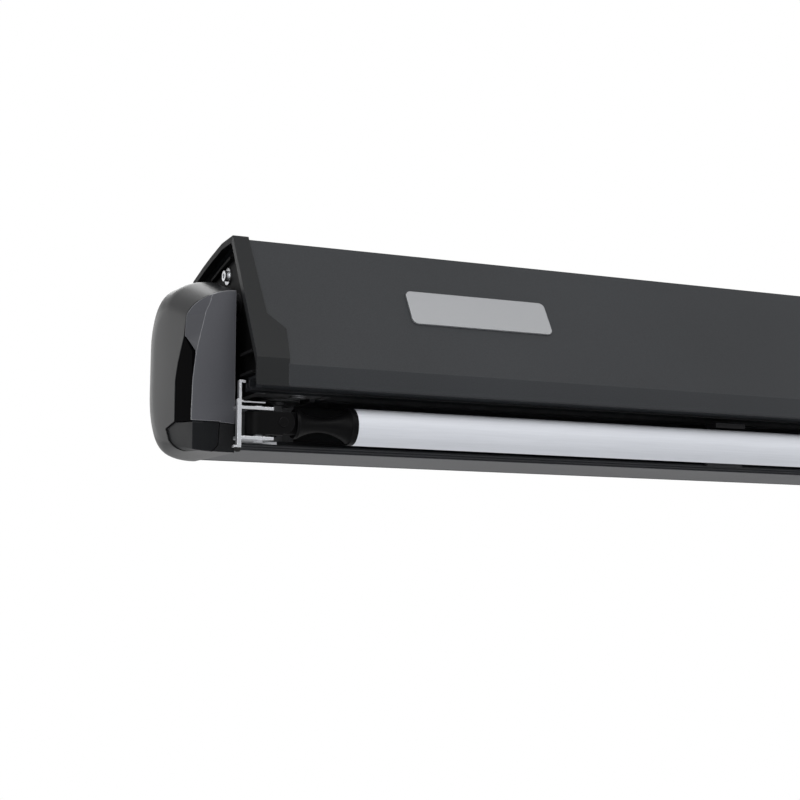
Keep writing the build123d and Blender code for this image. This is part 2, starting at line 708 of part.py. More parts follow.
def leg_neck():
    """Waisted neck between the hinge block and the leg tube."""
    near, far = neck_x0, neck_x1
    ring, flat, plug_in, neck_soft, ring_up = 3.5, 1.5, 25.0, 0.4, 1.2
    first, last = near + flat, far - ring - flat
    middle, reach = (first + last) / 2, (last - first) / 2
    waist = [(middle + reach * t / 6, neck_waist + (neck_r - neck_waist) * (t / 6) ** 2)
             for t in range(-6, 7)]
    profile = [(near, 0), (near, neck_r - neck_soft), *waist, (far - ring, neck_r + ring_up),
               (far - ring, leg_r), (far, leg_r), (far, leg_r - leg_wall),
               (far + plug_in, leg_r - leg_wall), (far + plug_in, 0)]
    plane = Plane(origin=(at(0), leg_y, leg_z), x_dir=(1, 0, 0), z_dir=(0, -1, 0))
    solid = revolve(plane * shape(profile), axis=Axis((0, leg_y, leg_z), (1, 0, 0)))
    solid += cross(at(drop_x), leg_z, lug_r, leg_y - lug_half, leg_y + lug_half)
    solid += box(at(drop_x), at(neck_x0 + neck_root), leg_y - lug_half, leg_y + lug_half,
                 leg_z - lug_r, leg_z + lug_r)
    return solid - cross(at(drop_x), leg_z, drop_pin_r + run_gap, leg_y - lug_half - over,
                         leg_y + lug_half + over)


def leg_tube():
    """Outer leg tube."""
    tube = disc(leg_y, leg_z, leg_r, at(neck_x1), at(tube_x1))
    guide = at(tube_x1 - guide_length)
    tube -= disc(leg_y, leg_z, leg_r - leg_wall, at(neck_x1), guide)
    return tube - disc(leg_y, leg_z, inner_r + run_gap, guide - over, at(tube_x1))


def leg_inner():
    """Sliding inner leg with the lug for the foot."""
    lug, end_r, plug = foot_lug, 5.5, at(inner_x1 - 4.0)
    tube = disc(leg_y, leg_z, inner_r, at(inner_x0), at(inner_x1))
    tube -= disc(leg_y, leg_z, inner_r - leg_wall, at(inner_x0), plug)
    tube += cross(at(foot_x), leg_z, end_r, leg_y - lug, leg_y + lug)
    tube += box(plug, at(foot_x), leg_y - lug, leg_y + lug, leg_z - end_r, leg_z + end_r)
    return tube - cross(at(foot_x), leg_z, foot_pin_r + run_gap, leg_y - lug - over, leg_y + lug + over)


def leg_foot():
    """Pivoting foot."""
    cheek, cheek_out, wide, tall = 5.0, 7.0, 10.0, 8.0
    sole_x0, sole_x1, root, proud = 7.5, 15.0, 8.0, 0.5
    inner = foot_lug + lug_play
    foot = box(at(foot_x + sole_x0), at(foot_x + sole_x1), leg_y - wide, leg_y + wide,
               leg_z - tall, leg_z + tall)
    for y0, y1 in ((leg_y - cheek_out, leg_y - inner), (leg_y + inner, leg_y + cheek_out)):
        foot += cross(at(foot_x), leg_z, cheek, y0, y1)
        foot += box(at(foot_x), at(foot_x + root), y0, y1, leg_z - cheek, leg_z + cheek)
    return foot + cross(at(foot_x), leg_z, foot_pin_r, leg_y - cheek_out - proud,
                        leg_y + cheek_out + proud)


def leg_clip():
    """Clip hooked over the rear edge of the lead rail, with a lip above the folded leg."""
    x0, x1 = at(clip_x0), at(clip_x1)
    back, inside = leg_y + leg_r + clip_gap, rail_rear + rail_wall
    low, hook = rail_rear_top - clip_drop, inside + clip_hook
    solid = box(x0, x1, back, rail_rear, low, clip_top)
    solid += box(x0, x1, clip_front, back + seat, clip_top - clip_lip, clip_top)
    solid += box(x0 - clip_ear0, x1 + clip_ear1, back, rail_rear, low, rail_rear_top + clip_ear_t)
    solid += box(x0, x1, back, hook, rail_rear_top, rail_rear_top + clip_t)
    return solid + box(x0, x1, inside, hook, rail_rear_top - clip_t, rail_rear_top + seat)


# Every node

put("cassette_hood", cassette_hood())
both("end_trim", end_trim())
left_plate = end_plate()
put("end_plate_left", left_plate)
put("end_plate_right", mirror(left_plate, about=Plane.YZ)
    - disc(crank_y, crank_z, crank_hole_r, -at(plate_x1 + over), -at(plate_x0 - over)))
both("end_screw", end_screw())
put("blank_badge", badge())
put("hood_lip_seal", lip_seal())
both("roller_bush", roller_bush())
both("roller_plug", roller_plug())
put("roller_tube", roller_tube())
put("cloth_roll", cloth_roll())
put("gearbox", gearbox())
put("crank_eye", crank_eye())
put("hem_bar", hem_bar())
both("shoulder_bracket", shoulder_bracket())
both("shoulder_knuckle", end_knuckle(shoulder_y))
both("upper_arm", arm_tube(shoulder_y, arm_x0, arm_x1))
both("elbow_fork", elbow_fork())
both("elbow_tongue", elbow_tongue())
both("forearm", arm_tube(wrist_y, arm_x0, arm_x1))
both("wrist_knuckle", end_knuckle(wrist_y))
both("wrist_bracket", wrist_bracket())
put("lead_rail", lead_rail())
for name, solid in zip(("cap_shell", "cap_stripe", "cap_inset", "cap_blade"), make_caps()):
    both(name, solid)
both("leg_bracket", leg_bracket())
both("rubber_stop", rubber_stop())
both("leg_block", hinge_block())
both("leg_neck", leg_neck())
both("leg_tube", leg_tube())
both("leg_inner", leg_inner())
both("leg_foot", leg_foot())
both("leg_clip", leg_clip())

print(len(shown), "nodes")
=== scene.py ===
# %% [markdown]
# # Roll out awning
# A roll out awning is a long case on the side of a caravan. A cloth winds onto a roller inside
# it, two folding arms push the front rail out, and two legs fold down from that rail. The
# solids of this one come ready made, each on the body that carries it. This script gives them
# their finishes, makes the cloth and the finer end caps, and sets up a studio and a camera.

# %% Load the frame
import json
import math

import bmesh
import bpy
from mathutils import Matrix, Vector

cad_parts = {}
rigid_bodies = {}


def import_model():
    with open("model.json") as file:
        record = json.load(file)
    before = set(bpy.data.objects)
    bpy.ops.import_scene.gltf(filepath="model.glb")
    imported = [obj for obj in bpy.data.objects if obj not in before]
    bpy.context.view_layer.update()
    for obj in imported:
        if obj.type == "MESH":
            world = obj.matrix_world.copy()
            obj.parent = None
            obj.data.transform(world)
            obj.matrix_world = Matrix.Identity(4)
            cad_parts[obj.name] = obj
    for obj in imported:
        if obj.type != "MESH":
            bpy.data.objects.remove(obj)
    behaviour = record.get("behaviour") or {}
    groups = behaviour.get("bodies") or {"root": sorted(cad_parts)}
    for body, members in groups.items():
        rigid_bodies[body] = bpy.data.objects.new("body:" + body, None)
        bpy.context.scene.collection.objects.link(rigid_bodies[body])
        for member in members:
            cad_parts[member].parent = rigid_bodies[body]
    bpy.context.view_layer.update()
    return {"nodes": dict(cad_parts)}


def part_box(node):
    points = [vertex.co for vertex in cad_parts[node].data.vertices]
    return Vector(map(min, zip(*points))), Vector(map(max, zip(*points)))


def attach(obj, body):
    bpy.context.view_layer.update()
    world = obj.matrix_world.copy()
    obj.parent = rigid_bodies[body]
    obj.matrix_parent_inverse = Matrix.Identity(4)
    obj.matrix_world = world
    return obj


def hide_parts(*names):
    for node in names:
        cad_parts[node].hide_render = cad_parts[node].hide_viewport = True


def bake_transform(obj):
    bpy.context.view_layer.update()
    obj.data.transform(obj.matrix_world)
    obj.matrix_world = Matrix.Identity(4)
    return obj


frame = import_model()
nodes = frame["nodes"]
SIDES = ("left", "right")

# %% [markdown]
# ## How a finish is built
# A real finish is never one flat colour: powder coat is speckled, a moulding has a grain, metal
# has fine lines. Image textures could give that, but they need files and a wrapping of every
# surface. A noise that is worked out from the position on the object needs neither, and it has
# the same scale on every piece, because all pieces are in metres. The first helper makes an
# empty Principled shader whose plain values stay on its own sockets.

# %% An empty material
def new_material(name, metallic=0.0, coat=0.0, spec=0.5, sheen=0.0):
    """An empty Principled material with its plain socket values."""
    m = bpy.data.materials.new(name)
    m.use_nodes = True
    shader = m.node_tree.nodes["Principled BSDF"]
    shader.inputs["Metallic"].default_value = metallic
    shader.inputs["Coat Weight"].default_value = coat
    shader.inputs["Specular IOR Level"].default_value = spec
    shader.inputs["Sheen Weight"].default_value = sheen
    return m, m.node_tree, shader

# %% [markdown]
# Noise is the raw stuff of grain. Stretching its coordinates turns dots into lines, which is how
# brushed or drawn metal gets its direction. A noise mostly stays near its middle value, so the
# part from 0.3 to 0.7 is spread out before it drives anything.

# %% Noise and its spread
def noise(tree, scale, detail=3.0, rough=0.5, stretch=(1, 1, 1)):
    """A noise texture in object coordinates, stretched per axis."""
    coord = tree.nodes.new("ShaderNodeTexCoord")
    mapping = tree.nodes.new("ShaderNodeMapping")
    mapping.inputs["Scale"].default_value = stretch
    tex = tree.nodes.new("ShaderNodeTexNoise")
    tex.inputs["Scale"].default_value = scale
    tex.inputs["Detail"].default_value = detail
    tex.inputs["Roughness"].default_value = rough
    tree.links.new(coord.outputs["Object"], mapping.inputs["Vector"])
    tree.links.new(mapping.outputs["Vector"], tex.inputs["Vector"])
    return tex.outputs["Fac"]


def spread(tree, fac, low, high, start=0.3, stop=0.7):
    """Maps the useful part of a value to low..high."""
    node = tree.nodes.new("ShaderNodeMapRange")
    node.inputs["From Min"].default_value = start
    node.inputs["From Max"].default_value = stop
    node.inputs["To Min"].default_value = low
    node.inputs["To Max"].default_value = high
    tree.links.new(fac, node.inputs["Value"])
    return node.outputs["Result"]

# %% [markdown]
# Two colours mixed by a noise give the speckle, and the same noise as a bump gives a surface
# that the lamps can catch. The bump has a real height in metres, so a powder coat of some
# hundredths of a millimetre stays as fine as it is.

# %% Colour, bump and sums
def tint(tree, fac, dark, light):
    """Mixes two colours by a value."""
    node = tree.nodes.new("ShaderNodeMix")
    node.data_type = "RGBA"
    node.inputs["A"].default_value = (*dark, 1)
    node.inputs["B"].default_value = (*light, 1)
    tree.links.new(fac, node.inputs["Factor"])
    return node.outputs["Result"]


def sum_of(tree, first, share, second):
    """Returns first times share, plus second times what is left."""
    scaled = tree.nodes.new("ShaderNodeMath")
    scaled.operation = "MULTIPLY"
    scaled.inputs[1].default_value = 1 - share
    tree.links.new(second, scaled.inputs[0])
    total = tree.nodes.new("ShaderNodeMath")
    total.operation = "MULTIPLY_ADD"
    total.inputs[1].default_value = share
    tree.links.new(first, total.inputs[0])
    tree.links.new(scaled.outputs[0], total.inputs[2])
    return total.outputs[0]

# %% [markdown]
# Solids from CAD have edges as sharp as a razor, and real ones don't: an extrusion or a moulding
# has a rounding of some tenths of a millimetre that shows as a thin line of light. Bevelling
# every mesh could do it, but the meshes here are kept as they are. The Bevel node bends only the
# shading near an edge. What it bends, compared with the true surface, also marks where edges
# are, and there a lighter colour is mixed in as a painted highlight.

# %% Rounded edges and painted edge highlights
BENT, STRAIGHT = 0.86, 0.995  # cosines between which an edge fades out


def edge_normal(tree, radius):
    """A normal that is rounded near edges."""
    node = tree.nodes.new("ShaderNodeBevel")
    node.samples = 6
    node.inputs["Radius"].default_value = radius
    return node.outputs["Normal"]


def edge_mask(tree, rounded):
    """1 on edges and 0 elsewhere."""
    true = tree.nodes.new("ShaderNodeNewGeometry")
    dot = tree.nodes.new("ShaderNodeVectorMath")
    dot.operation = "DOT_PRODUCT"
    tree.links.new(true.outputs["Normal"], dot.inputs[0])
    tree.links.new(rounded, dot.inputs[1])
    return spread(tree, dot.outputs["Value"], 1, 0, BENT, STRAIGHT)


def bump(tree, fac, height, normal=None, strength=1.0):
    """A bump of a real height in metres."""
    node = tree.nodes.new("ShaderNodeBump")
    node.inputs["Strength"].default_value = strength
    node.inputs["Distance"].default_value = height
    tree.links.new(fac, node.inputs["Height"])
    if normal is not None:
        tree.links.new(normal, node.inputs["Normal"])
    return node.outputs["Normal"]

# %% [markdown]
# Now one helper makes a whole finish from its colours, its roughness range, and its grain: how
# many grains go to a metre, and how high they are. Wide, weak patches keep a long piece from
# looking printed.

# %% A whole finish
def finish(name, dark, light, rough, grain, height, stretch=(1, 1, 1), patch=6.0, edge_highlight=None,
           edge=.0005, **sockets):
    """A material with patchy colour and roughness, a fine grain and rounded edges."""
    m, tree, shader = new_material(name, **sockets)
    fine = noise(tree, grain, 2.0, 0.6, stretch)
    mixed = sum_of(tree, fine, 0.6, noise(tree, patch, 2.0))
    rounded = edge_normal(tree, edge)
    colour = tint(tree, spread(tree, mixed, 0, 1), dark, light)
    # Along edges a lighter colour is mixed in: a painted highlight.
    if edge_highlight is not None:
        node = tree.nodes.new("ShaderNodeMix")
        node.data_type = "RGBA"
        tree.links.new(edge_mask(tree, rounded), node.inputs["Factor"])
        tree.links.new(colour, node.inputs["A"])
        node.inputs["B"].default_value = (*edge_highlight, 1)
        colour = node.outputs["Result"]
    tree.links.new(colour, shader.inputs["Base Color"])
    tree.links.new(spread(tree, mixed, *rough), shader.inputs["Roughness"])
    tree.links.new(bump(tree, fine, height, rounded), shader.inputs["Normal"])
    return m


def dress(slot, material, *names):
    """Gives CAD nodes a material. The slot of the record that it stands for is not used."""
    for n in names:
        o = nodes[n]
        o.data.materials.clear()
        o.data.materials.append(material)
        o.data.polygons.foreach_set("material_index", [0] * len(o.data.polygons))
    print(material.name, "on", ", ".join(names))


def both(*names):
    """The names of the left and the right piece."""
    return [f"{n}_{side}" for n in names for side in SIDES]

# %% [markdown]
# ## Cover
# The cover is an aluminium extrusion in dark powder coat with a fine sparkle in it. Powder melts
# into tiny hills, so the grain is round, about half a millimetre apart, and the gloss is low.
# The badge place on it is a bare satin plate, brushed along its length.

# %% Cover, badge plate and lip seal
hood_coat = finish("hood_coat", (.0062, .0071, .0088), (.0163, .0181, .0210),
                   (.46, .56), 1300, .00004, spec=.22, edge_highlight=(.03, .031, .034))
badge_satin = finish("badge_satin", (.20, .205, .215), (.25, .256, .266), (.50, .58), 1500, .000008,
                     (1, 40, 40), metallic=.6)
rubber = finish("black_rubber", (.003, .003, .003), (.006, .006, .006),
                (.55, .7), 900, .00004, spec=.15)
dress("hood_paint", hood_coat, "cassette_hood")
dress("badge_silver", badge_satin, "blank_badge")
dress("seal_rubber", rubber, "hood_lip_seal", *both("rubber_stop"))

# %% [markdown]
# The trims over the ends of the cover are mouldings. They are darker than the cover and
# smoother, with hardly any grain. The end plate behind them is black and lies in shade, so it
# needs no gloss at all. Its screw is bright zinc.

# %% End trims, plates and screws
trim_satin = finish("trim_satin", (.0055, .006, .0066), (.008, .0088, .0095),
                    (.42, .5), 1800, .00003, spec=.14, edge_highlight=(.016, .017, .018))
plate_black = finish("plate_black", (.0018, .0018, .002), (.003, .003, .0032),
                     (.5, .62), 1500, .00003, spec=.1, edge_highlight=(.012, .012, .013))
zinc = finish("zinc_plate", (.60, .61, .63), (.70, .71, .73),
              (.22, .32), 1400, .00001, metallic=1.0, edge=.0002)
TRIM_APEX_Y = .0475  # behind the apex of the cover the trim lies in the shade of the plate
dress("trim_black", trim_satin, *both("end_trim"))
# Those faces take the plate's black: painted shade where the plate shades the trim, and the plate's
# own black where it reaches the edge.
for name in both("end_trim"):
    mesh = nodes[name].data
    mesh.materials.append(plate_black)
    for face in mesh.polygons:
        face.material_index = int(face.center.y > TRIM_APEX_Y)
dress("plate_black", plate_black, *both("end_plate"))
dress("plug_black", plate_black, *both("roller_plug"))
dress("zinc_screw", zinc, *both("end_screw"))

# %% [markdown]
# ## End caps
# Each end of the front rail has a cap in four pieces: a satin shell, a blade of the same
# plastic that is given a lighter colour as painted light, a gloss black stripe between them,
# and a corner piece. The stripe looks pure black in a bright room because it mirrors something
# dark, so its specular level is close to nothing rather than its colour being a trick.

# %% End cap finishes
cap_satin = finish("cap_satin", (.0100, .0104, .0111), (.013, .0135, .0142),
                   (.30, .36), 1600, .000015, spec=.036, edge=.0008)
# The blade's colour is lighter than the shell's: painted light on the same plastic.
blade_satin_painted_light = finish("blade_satin_painted_light", (.050, .051, .058), (.060, .062, .070),
                     (.36, .44), 1600, .000015, spec=.2, edge_highlight=(.26, .265, .28), edge=.0006)
stripe_gloss = finish("stripe_gloss", (.0006, .0006, .0008), (.001, .001, .0012), (.08, .12), 300,
                      .000004, coat=.02, spec=0)
inset_satin = finish("inset_satin", (.0075, .008, .0088), (.010, .0106, .0115),
                     (.4, .48), 1500, .00002, spec=.025, edge_highlight=(.05, .051, .055), edge=.0006)
dress("cap_satin", cap_satin, *both("cap_shell"))
dress("blade_grey", blade_satin_painted_light, *both("cap_blade"))
dress("stripe_gloss", stripe_gloss, *both("cap_stripe"))
dress("inset_grey", inset_satin, *both("cap_inset"))

# %% [markdown]
# ## Front rail and legs
# The front rail has the same powder coat as the cover, with a lighter colour that is painted
# light from below. The leg bracket is cut from a bare aluminium extrusion, and saw lines run
# round it. The legs are anodised tubes: the dye leaves them milky, so they are only partly
# metallic, and the drawing lines run along them. Hinge blocks, necks and feet are black plastic.

# %% Rail and leg finishes
# The rail's colour is lighter than the cover's: painted light from below.
rail_coat_painted_light = finish("rail_coat_painted_light", (.019, .020, .0225), (.0265, .028, .031), (.46, .55), 1300, .00004,
                   spec=.2, edge_highlight=(.04, .042, .046))
bare = finish("bare_aluminium", (.30, .31, .33), (.44, .45, .47), (.26, .38), 900, .00001,
              (1, 1, 14), metallic=.9, edge_highlight=(.7, .7, .72), edge=.0003)
leg_black = finish("leg_black", (.0014, .0014, .0016), (.0024, .0024, .0026),
                   (.4, .5), 1400, .00002, spec=.04, edge_highlight=(.014, .014, .015))
anodised = finish("anodised_leg", (.41, .425, .46), (.47, .485, .52), (.50, .58), 1400, .000008,
                  (.02, 1, 1), metallic=.12, spec=.3, edge=.0002)
clip_grey = finish("clip_grey", (.02, .02, .022), (.03, .03, .033),
                   (.4, .5), 1400, .00003, spec=.15)
dress("rail_paint", rail_coat_painted_light, "lead_rail")
dress("bare_aluminium", bare, *both("leg_bracket"))
dress("leg_black", leg_black, *both("leg_block", "leg_neck", "leg_foot"))
dress("leg_aluminium", anodised, *both("leg_tube", "leg_inner"))
dress("clip_grey", clip_grey, *both("leg_clip"))

# %% [markdown]
# ## Arms, roller and crank
# These hide inside the closed case and show once it opens. The arms are coated extrusions with
# grey castings at their joints. The roller is galvanised steel, which grows crystals a few
# millimetres wide as it cools, so its noise is coarse. The crank is plated steel.

# %% Inner finishes
arm_coat = finish("arm_coat", (.022, .023, .025), (.029, .030, .033),
                  (.42, .5), 2400, .00004, spec=.35, edge_highlight=(.045, .046, .05))
casting = finish("arm_casting", (.10, .103, .108), (.14, .144, .15), (.38, .5), 700, .00005,
                 metallic=.5, edge_highlight=(.22, .225, .235), edge=.0008)
gear_black = finish("gearbox_black", (.010, .010, .011), (.015, .015, .017), (.4, .5), 1200, .00003,
                    spec=.3)
steel = finish("satin_steel", (.40, .41, .42), (.50, .51, .52),
               (.28, .38), 1500, .00001, metallic=1.0)
galvanised = finish("galvanised", (.38, .40, .42), (.55, .56, .58), (.35, .5), 120, .00001,
                    metallic=1.0)
dress("arm_paint", arm_coat, *both("upper_arm", "forearm"))
dress("bracket_aluminium", casting, *both("shoulder_bracket", "wrist_bracket", "shoulder_knuckle",
                                          "elbow_fork", "elbow_tongue", "wrist_knuckle"))
dress("bush_polymer", gear_black, *both("roller_bush"))
dress("gearbox_black", gear_black, "gearbox")
dress("crank_steel", steel, "crank_eye")
dress("roller_steel", galvanised, "roller_tube")
dress("hem_aluminium", bare, "hem_bar")

# %% [markdown]
# ## Canopy cloth
# The cloth is a coated canvas: threads along and across, pressed flat by the coating, with a
# soft sheen. Two sets of waves crossing at right angles make the threads, and a slow noise
# keeps the grey from being even.

# %% Woven canvas
THREADS = 220


def canvas():
    """Grey coated canvas with a fine weave."""
    m, tree, shader = new_material("canopy_weave", sheen=.15, spec=.3)
    patch = noise(tree, 3.0, 3.0)
    colour = tint(tree, spread(tree, patch, 0, 1), (.30, .31, .33), (.35, .36, .38))
    tree.links.new(colour, shader.inputs["Base Color"])
    coord = tree.nodes.new("ShaderNodeTexCoord")
    threads = []
    for direction in ("X", "Y"):
        wave = tree.nodes.new("ShaderNodeTexWave")
        wave.bands_direction = direction
        wave.inputs["Scale"].default_value = THREADS
        wave.inputs["Distortion"].default_value = .6
        wave.inputs["Detail Scale"].default_value = 8
        tree.links.new(coord.outputs["Object"], wave.inputs["Vector"])
        threads.append(wave.outputs["Fac"])
    crossing = sum_of(tree, threads[0], 0.5, threads[1])
    tree.links.new(bump(tree, crossing, .00025, strength=.6), shader.inputs["Normal"])
    tree.links.new(spread(tree, patch, .62, .74), shader.inputs["Roughness"])
    return m


weave = canvas()
print("weave:", THREADS, "waves to a metre each way")

# %% [markdown]
# ## A mesh from points
# The cloth and the caps need meshes of their own. Blender can build one by hand, from a curve or
# from plain lists of points and faces. Lists are used here, because every point then comes from
# a formula. The normals are turned outward afterwards, so that cuts and shading work.

# %% A mesh from points
def mesh_object(name, verts, faces, material, smooth=True):
    """A mesh object from points and faces."""
    mesh = bpy.data.meshes.new(name)
    mesh.from_pydata([tuple(v) for v in verts], [], faces)
    mesh.update()
    bm = bmesh.new()
    bm.from_mesh(mesh)
    bmesh.ops.recalc_face_normals(bm, faces=bm.faces)
    bm.to_mesh(mesh)
    bm.free()
    o = bpy.data.objects.new(name, mesh)
    bpy.context.scene.collection.objects.link(o)
    mesh.materials.append(material)
    if smooth:
        mesh.polygons.foreach_set("use_smooth", [True] * len(mesh.polygons))
    return o

# %% [markdown]
# ## The wound cloth
# The solids hold the roll as a plain ring. Real cloth on a roller is a spiral, and its end
# shows the layers edge on. So a strip is laid along a spiral of a few turns, with a thickness,
# between the tube and the outside of the ring. It stands for the ring and turns with the roller.

# %% Spiral of cloth
TURNS, PER_TURN = 5, 48
CLOTH_T, TUBE_R, SEAT = .0009, .0192, .00035
lo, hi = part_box("cloth_roll")
axis_y, axis_z = (lo.y + hi.y) / 2, (lo.z + hi.z) / 2
outer = (hi.y - lo.y) / 2
count = TURNS * PER_TURN
verts, faces = [], []
for i in range(count + 1):
    share = i / count
    a = math.pi / 2 - share * TURNS * math.tau
    r = outer - SEAT - share * (outer - TUBE_R - 2 * SEAT)
    for x in (lo.x, hi.x):
        for radius in (r, r - CLOTH_T):
            verts.append((x, axis_y + radius * math.cos(a), axis_z + radius * math.sin(a)))
for i in range(count):
    p, q = 4 * i, 4 * i + 4
    faces += [(p, q, q + 2, p + 2), (p + 1, p + 3, q + 3, q + 1), (p, p + 1, q + 1, q),
              (p + 2, q + 2, q + 3, p + 3)]
last = 4 * count
faces += [(0, 2, 3, 1), (last, last + 1, last + 3, last + 2)]
roll = mesh_object("cloth_winding", verts, faces, weave)
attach(roll, "roller")
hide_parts("cloth_roll")
print("roll:", TURNS, "turns, outer radius", round(outer, 4))

# %% [markdown]
# ## The free end of the cloth
# From the roll the cloth runs straight to the hem bar in the front rail and goes round it. The
# sheet leaves the roll where a straight line touches both circles, so it neither cuts into
# them nor floats.

# %% Line that touches the roll and the bar
HEM_SEAT, ROLL_SEAT = .0003, .0001
hem_lo, hem_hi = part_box("hem_bar")
hem_y, hem_z = (hem_lo.y + hem_hi.y) / 2, (hem_lo.z + hem_hi.z) / 2
hem_r = (hem_hi.y - hem_lo.y) / 2 + HEM_SEAT
roll_r = outer + ROLL_SEAT
reach = math.hypot(hem_y - axis_y, hem_z - axis_z)
lean = math.atan2(hem_z - axis_z, hem_y - axis_y) + math.acos((roll_r - hem_r) / reach)


def arc(y, z, r, start, turn, steps):
    """Points on a circle from an angle through a turn, in degrees."""
    angles = [start + math.radians(turn) * i / steps for i in range(steps + 1)]
    return [(y + r * math.cos(a), z + r * math.sin(a)) for a in angles]


ROLL_TURN, HEM_TURN = 30, 200
ROLL_STEPS, HEM_STEPS, STEPS, COLUMNS = 6, 8, 24, 17
path = arc(axis_y, axis_z, roll_r, lean + math.radians(ROLL_TURN), -ROLL_TURN, ROLL_STEPS)
around = arc(hem_y, hem_z, hem_r, lean, -HEM_TURN, HEM_STEPS)
first, second = path[-1], around[0]
for i in range(1, STEPS):
    t = i / STEPS
    path.append((first[0] + (second[0] - first[0]) * t, first[1] + (second[1] - first[1]) * t))
path += around

# %% [markdown]
# The sheet is that path swept along the awning. A few columns are enough, since it is flat across,
# but more rows lie in the free part, the straight run from the roll to the bar.

# %% Canopy sheet
width = hi.x - lo.x
verts = [(lo.x + width * c / (COLUMNS - 1), y, z) for y, z in path for c in range(COLUMNS)]
faces = [(r * COLUMNS + c, r * COLUMNS + c + 1, (r + 1) * COLUMNS + c + 1, (r + 1) * COLUMNS + c)
         for r in range(len(path) - 1) for c in range(COLUMNS - 1)]
canopy = mesh_object("canopy_sheet", verts, faces, weave)
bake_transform(canopy)
print("canopy:", len(verts), "points,", round(width, 3), "m wide")

# %% [markdown]
# ## End caps
# The cap at each end of the front rail is the piece that catches the eye: a rounded satin
# shell, a blade with a slanted facet, a stripe of gloss black and a small corner piece, with
# fine dark seams between them. The solids give its main form. To get the seams and a shell that
# stays round beside the facet, the four pieces are cut here from one smooth body, the way a
# designer splits a master form into parts. All lengths are in metres, and h is the distance
# inward from the end of the cover.

# %% Rounded outline
HOOD_END = 1.750
CAP_IN, CAP_OUT = .006, .033
REAR, NOSE, LOW, LIFT = .0355, .156, -.0421, .002
TOP = [(.154, .075), (.088, .0715), (REAR, .056)]
NOSE_ROUND, TOP_ROUND, LOW_ROUND = .040, .026, .014
LOWER_R, UPPER_R, SHOULDER_R = .045, .032, .060
LOWER_LESS, UPPER_LESS, SHOULDER_LESS = .012, .008, .040
LOW_SHARE, TOP_SHARE = .1, .8
ARC_STEPS, SIDE_STEPS = 14, 10


def rounded(corners):
    """Points round an outline of (y, z, radius) corners, always the same number."""
    ends = []
    for i, (y, z, r) in enumerate(corners):
        here = Vector((y, z))
        back = (Vector(corners[i - 1][:2]) - here).normalized()
        on = (Vector(corners[(i + 1) % len(corners)][:2]) - here).normalized()
        if r == 0:
            ends.append([here])
            continue
        half = math.acos(back.dot(on)) / 2
        centre = here + (back + on).normalized() * (r / math.sin(half))
        start, stop = here + back * (r / math.tan(half)), here + on * (r / math.tan(half))
        a0 = math.atan2(*reversed(start - centre))
        turn = math.atan2(*reversed(stop - centre)) - a0
        turn = (turn + math.pi) % math.tau - math.pi
        angles = [a0 + turn * k / ARC_STEPS for k in range(ARC_STEPS + 1)]
        ends.append([centre + Vector((math.cos(a), math.sin(a))) * r for a in angles])
    points = []
    for i, group in enumerate(ends):
        points += group
        goal = ends[(i + 1) % len(ends)][0]
        points += [group[-1].lerp(goal, k / SIDE_STEPS) for k in range(1, SIDE_STEPS)]
    return points


def cap_outline(nose=0.0, top=0.0, low=0.0):
    """Outline of the cap, drawn in from the nose, top and bottom."""
    share = nose / NOSE_ROUND
    fall = TOP_SHARE * top
    return rounded([(REAR, LOW + LOW_SHARE * low, 0),
                    (NOSE - nose, LOW + LIFT + low, LOWER_R - LOWER_LESS * share),
                    (TOP[0][0] - nose, TOP[0][1] - top, UPPER_R - UPPER_LESS * share),
                    (TOP[1][0], TOP[1][1] - fall, SHOULDER_R - SHOULDER_LESS * share),
                    (REAR, TOP[2][1] - fall, 0)])


print("outline of", len(cap_outline()), "points")

# %% [markdown]
# A body whose section changes along its length is a stack of rings with the same number of points,
# joined by four-sided faces and closed by a lid at each end. A prism is the same with two rings,
# and it serves as a cutter. A cutter grown by half a millimetre leaves a seam of that width.

# %% Closed bodies from rings, and prisms
def ring_body(name, rings):
    """A closed mesh through rings of (x, y, z) points."""
    n = len(rings[0])
    verts = [p for ring in rings for p in ring]
    faces = [(r * n + i, r * n + (i + 1) % n, (r + 1) * n + (i + 1) % n, (r + 1) * n + i)
             for r in range(len(rings) - 1) for i in range(n)]
    faces += [tuple(range(n)), tuple(range((len(rings) - 1) * n, len(rings) * n))]
    return mesh_object(name, verts, faces, cap_satin, smooth=False)


def end_prism(name, outline, h0, h1):
    """A prism along X under an outline in (y, z), between two distances from the cover's end."""
    return ring_body(name, [[(-HOOD_END + h, y, z) for y, z in outline] for h in (h0, h1)])


def rear_prism(name, outline, y0, y1):
    """A prism along Y under an outline in (h, z)."""
    return ring_body(name, [[(-HOOD_END + h, y, z) for h, z in outline] for y in (y0, y1)])


def grow(outline, amount):
    """An outline moved outward by an amount."""
    points = [Vector(p) for p in outline]
    area = sum(p.x * q.y - q.x * p.y for p, q in zip(points, points[1:] + points[:1]))
    sign = 1 if area > 0 else -1
    moved = []
    for i, p in enumerate(points):
        d0, d1 = (p - points[i - 1]).normalized(), (points[(i + 1) % len(points)] - p).normalized()
        n0, n1 = Vector((d0.y, -d0.x)) * sign, Vector((d1.y, -d1.x)) * sign
        moved.append(p + (n0 + n1) * (amount / (1 + n0.dot(n1))))
    return [tuple(p) for p in moved]

# %% [markdown]
# Cutting is done with the Boolean modifier and its exact solver. Its result is taken as a new
# mesh, so no modifier or helper object stays behind.

